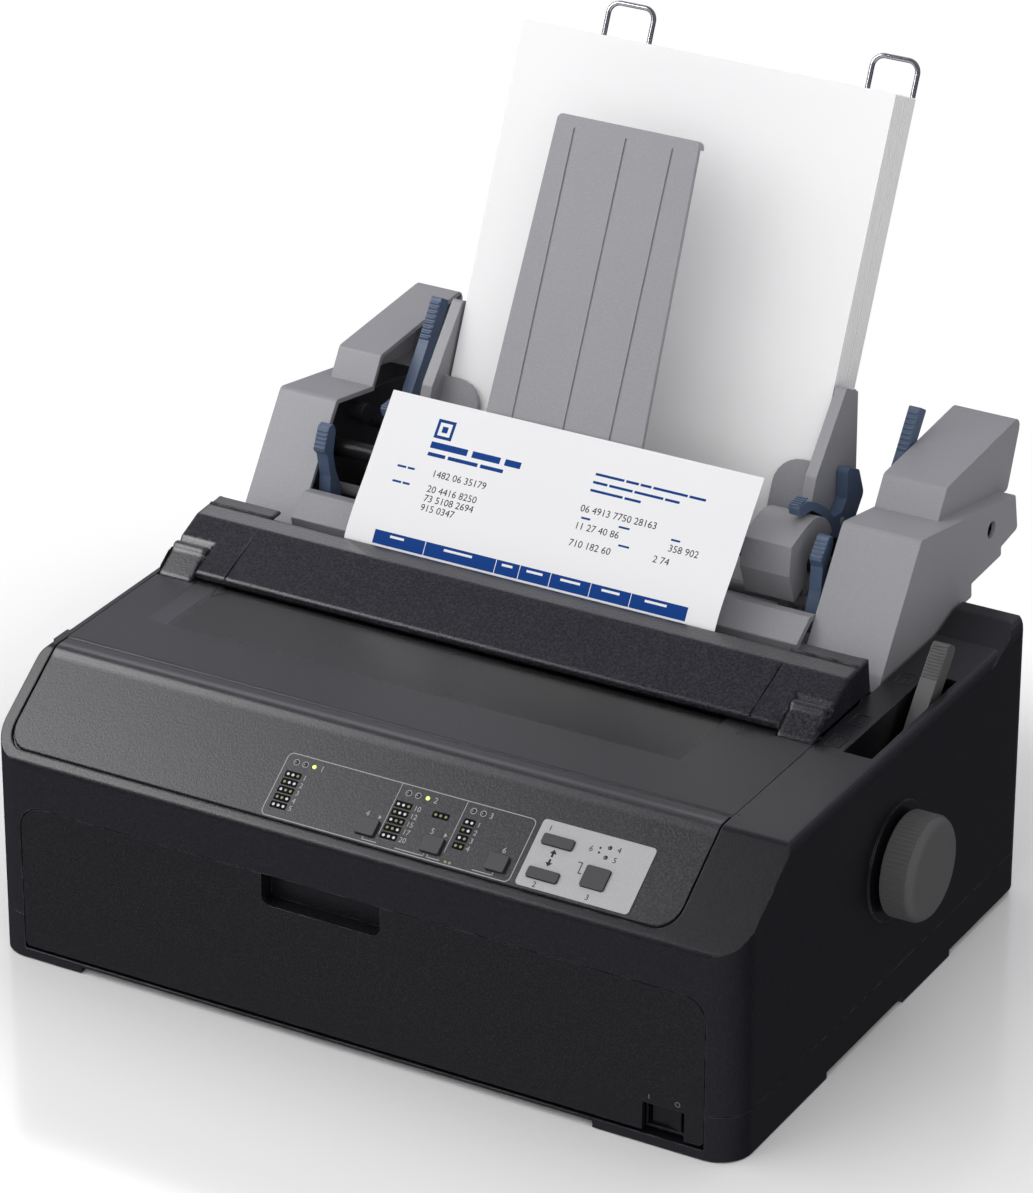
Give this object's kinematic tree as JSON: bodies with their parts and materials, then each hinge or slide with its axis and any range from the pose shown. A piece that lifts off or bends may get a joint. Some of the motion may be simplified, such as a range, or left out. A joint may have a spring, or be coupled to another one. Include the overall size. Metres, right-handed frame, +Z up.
{
  "type": "dot matrix printer",
  "caption": "Desktop impact printer with a hinged smoked cover, front door, control panel, platen knob and a cut sheet feeder on top.",
  "frame": {"origin": "under the middle of the whole object's box, on the plane of the feet", "axes": "+X to the printer's right, +Y to the rear, +Z up; the control panel faces -Y"},
  "size_m": [0.431, 0.4084, 0.3863],
  "materials": {
    "case_shell": "fine grained moulding",
    "panel": "fine grained moulding",
    "door": "fine grained moulding",
    "foot_rubber": "plain",
    "screw_steel": "zinc plated",
    "grey_plate": "satin print plate",
    "light_lens": "clear lens, three lit",
    "button": "satin",
    "smoked_window": "smoked clear plastic",
    "cover_bar": "coarse grained moulding",
    "black_plastic": "plain moulding",
    "lever_grey": "satin moulding",
    "knob": "satin, fluted rim",
    "lever_blue": "satin moulding",
    "feeder_grey": "fine grained moulding",
    "stacker_grey": "satin moulding",
    "sheet_steel": "galvanised sheet",
    "bright_steel": "ground steel",
    "platen_rubber": "ground rubber",
    "gear_plastic": "natural acetal",
    "brass_gear": "machined",
    "motor_metal": "plated can",
    "head_metal": "die cast, dark",
    "belt_rubber": "toothed belt",
    "board": "glass fibre board",
    "supply_metal": "pressed cage",
    "roller_rubber": "grooved rubber",
    "copy_paper": "plain sheets",
    "printed_paper": "plain sheet with blank form rules"
  },
  "bodies": {
    "case": {"lower_case": "case_shell", "upper_case": "case_shell", "control_panel": "panel", "rubber_feet": "foot_rubber", "case_screws": "screw_steel", "button_plate": "grey_plate", "panel_lights": "light_lens", "switch_frame": "black_plastic", "ribbon_cartridge": "black_plastic", "interface_ports": "black_plastic", "power_inlet": "black_plastic", "feeder_side_plates": "black_plastic", "feeder_left_housing": "feeder_grey", "feeder_right_housing": "feeder_grey", "feeder_frame": "feeder_grey", "stacker": "stacker_grey", "base_frame": "sheet_steel", "side_frames": "sheet_steel", "carriage_rails": "bright_steel", "paper_wires": "bright_steel", "feed_motor": "motor_metal", "carriage_motor": "motor_metal", "drive_belt": "belt_rubber", "circuit_boards": "board", "power_supply": "supply_metal", "paper_stack": "copy_paper", "printed_sheet": "printed_paper"},
    "cover": {"cover_window": "smoked_window", "cover_bar": "cover_bar"},
    "door": {"front_cover": "door"},
    "rocker": {"power_rocker": "black_plastic"},
    "release": {"release_lever": "lever_grey"},
    "thickness": {"thickness_lever": "lever_blue"},
    "platen": {"platen_roller": "platen_rubber", "platen_shaft": "bright_steel", "platen_gear": "gear_plastic", "feed_knob": "knob"},
    "pinion": {"motor_pinion": "brass_gear"},
    "print_carriage": {"carriage": "black_plastic", "print_head": "head_metal"},
    "drive_pulley": {"motor_pulley": "gear_plastic"},
    "return_pulley": {"idler_pulley": "gear_plastic"},
    "ribbon_winder": {"ribbon_knob": "black_plastic"},
    "font_key": {"font_button": "button"},
    "pitch_key": {"pitch_button": "button"},
    "set_key": {"set_button": "button"},
    "load_key": {"load_button": "button"},
    "feed_key": {"feed_button": "button"},
    "pause_key": {"pause_button": "button"},
    "left_edge_guide": {"left_guide": "feeder_grey"},
    "right_edge_guide": {"right_guide": "feeder_grey"},
    "left_lock": {"left_lock_lever": "lever_blue"},
    "right_lock": {"right_lock_lever": "lever_blue"},
    "left_set": {"left_set_lever": "lever_blue"},
    "right_set": {"right_set_lever": "lever_blue"},
    "left_hook": {"left_hook_lever": "lever_blue"},
    "right_hook": {"right_hook_lever": "lever_blue"},
    "pickup": {"pickup_shaft": "bright_steel"},
    "left_roller": {"left_pickup_roller": "roller_rubber"},
    "right_roller": {"right_pickup_roller": "roller_rubber"}
  },
  "joints": [
    {"name": "cover_hinge", "type": "hinge", "parent": "case", "child": "cover", "pos_m": [-0.026, -0.14018, 0.1445], "axis": [1, 0, 0], "range_deg": [0, 75]},
    {"name": "door_hinge", "type": "hinge", "parent": "case", "child": "door", "pos_m": [-0.01, -0.20098, 0.0105], "axis": [1, 0, 0], "range_deg": [0, 90]},
    {"name": "power_switch", "type": "hinge", "parent": "case", "child": "rocker", "pos_m": [0.1565, -0.19418, 0.0151], "axis": [0, 0, 1], "range_deg": [0, 12]},
    {"name": "release_lever_tilt", "type": "hinge", "parent": "case", "child": "release", "pos_m": [0.1805, -0.02618, 0.094], "axis": [1, 0, 0], "range_deg": [-2, 60]},
    {"name": "thickness_lever_tilt", "type": "hinge", "parent": "case", "child": "thickness", "pos_m": [0.133, -0.08618, 0.072], "axis": [1, 0, 0], "range_deg": [0, 30]},
    {"name": "platen_turn", "type": "hinge", "parent": "case", "child": "platen", "pos_m": [-0.0105, -0.04418, 0.086], "axis": [1, 0, 0], "continuous": true},
    {"name": "pinion_turn", "type": "hinge", "parent": "case", "child": "pinion", "pos_m": [-0.1905, -0.01218, 0.062], "axis": [1, 0, 0], "continuous": true},
    {"name": "carriage_travel", "type": "slide", "parent": "case", "child": "print_carriage", "axis": [1, 0, 0], "range_m": [0, 0.23]},
    {"name": "drive_pulley_turn", "type": "hinge", "parent": "case", "child": "drive_pulley", "pos_m": [-0.1605, -0.12218, 0.075], "axis": [0, 0, 1], "continuous": true},
    {"name": "return_pulley_turn", "type": "hinge", "parent": "case", "child": "return_pulley", "pos_m": [0.1215, -0.12218, 0.075], "axis": [0, 0, 1], "continuous": true},
    {"name": "ribbon_winder_turn", "type": "hinge", "parent": "case", "child": "ribbon_winder", "pos_m": [-0.1505, -0.12618, 0.125], "axis": [0, 0, 1], "continuous": true},
    {"name": "left_set_tilt", "type": "hinge", "parent": "case", "child": "left_set", "pos_m": [-0.1645, 0.09882, 0.172], "axis": [1, 0, 0], "range_deg": [0, 25]},
    {"name": "right_set_tilt", "type": "hinge", "parent": "case", "child": "right_set", "pos_m": [0.1099, 0.09882, 0.172], "axis": [1, 0, 0], "range_deg": [0, 25]},
    {"name": "left_hook_tilt", "type": "hinge", "parent": "case", "child": "left_hook", "pos_m": [-0.17015, 0.03982, 0.154], "axis": [1, 0, 0], "range_deg": [0, 18]},
    {"name": "right_hook_tilt", "type": "hinge", "parent": "case", "child": "right_hook", "pos_m": [0.10625, 0.03982, 0.154], "axis": [1, 0, 0], "range_deg": [0, 18]},
    {"name": "left_guide_slide", "type": "slide", "parent": "case", "child": "left_edge_guide", "axis": [-1, 0, 0], "range_m": [0, 0.012]},
    {"name": "right_guide_slide", "type": "slide", "parent": "case", "child": "right_edge_guide", "axis": [1, 0, 0], "range_m": [0, 0.006]},
    {"name": "left_lock_tilt", "type": "hinge", "parent": "left_edge_guide", "child": "left_lock", "pos_m": [-0.1413, 0.09582, 0.182], "axis": [-1, 0, 0], "range_deg": [0, 12]},
    {"name": "right_lock_tilt", "type": "hinge", "parent": "right_edge_guide", "child": "right_lock", "pos_m": [0.0898, 0.09582, 0.182], "axis": [-1, 0, 0], "range_deg": [0, 12]},
    {"name": "pickup_turn", "type": "hinge", "parent": "case", "child": "pickup", "pos_m": [-0.0205, 0.05582, 0.177], "axis": [1, 0, 0], "continuous": true},
    {"name": "left_roller_turn", "type": "hinge", "parent": "left_edge_guide", "child": "left_roller", "pos_m": [-0.1205, 0.05582, 0.177], "axis": [1, 0, 0], "continuous": true},
    {"name": "right_roller_turn", "type": "hinge", "parent": "right_edge_guide", "child": "right_roller", "pos_m": [0.0755, 0.05582, 0.177], "axis": [1, 0, 0], "continuous": true},
    {"name": "font_button_press", "type": "slide", "parent": "case", "child": "font_key", "axis": [0, 0.5798, -0.8148], "range_m": [0, 0.0012], "stiffness_N_per_m": 500, "springref_m": -0.0004},
    {"name": "pitch_button_press", "type": "slide", "parent": "case", "child": "pitch_key", "axis": [0, 0.5798, -0.8148], "range_m": [0, 0.0012], "stiffness_N_per_m": 500, "springref_m": -0.0004},
    {"name": "set_button_press", "type": "slide", "parent": "case", "child": "set_key", "axis": [0, 0.5798, -0.8148], "range_m": [0, 0.0012], "stiffness_N_per_m": 500, "springref_m": -0.0004},
    {"name": "load_button_press", "type": "slide", "parent": "case", "child": "load_key", "axis": [0, 0.5798, -0.8148], "range_m": [0, 0.0012], "stiffness_N_per_m": 500, "springref_m": -0.0004},
    {"name": "feed_button_press", "type": "slide", "parent": "case", "child": "feed_key", "axis": [0, 0.5798, -0.8148], "range_m": [0, 0.0012], "stiffness_N_per_m": 500, "springref_m": -0.0004},
    {"name": "pause_button_press", "type": "slide", "parent": "case", "child": "pause_key", "axis": [0, 0.5798, -0.8148], "range_m": [0, 0.0012], "stiffness_N_per_m": 500, "springref_m": -0.0004}
  ],
  "couplings": [
    {"joint": "pinion_turn", "follows": "platen_turn", "ratio": -3},
    {"joint": "drive_pulley_turn", "follows": "carriage_travel", "rad_per_m": -166.67},
    {"joint": "return_pulley_turn", "follows": "carriage_travel", "rad_per_m": -166.67},
    {"joint": "right_set_tilt", "follows": "left_set_tilt", "ratio": 1},
    {"joint": "left_roller_turn", "follows": "pickup_turn", "ratio": 1},
    {"joint": "right_roller_turn", "follows": "pickup_turn", "ratio": 1}
  ]
}
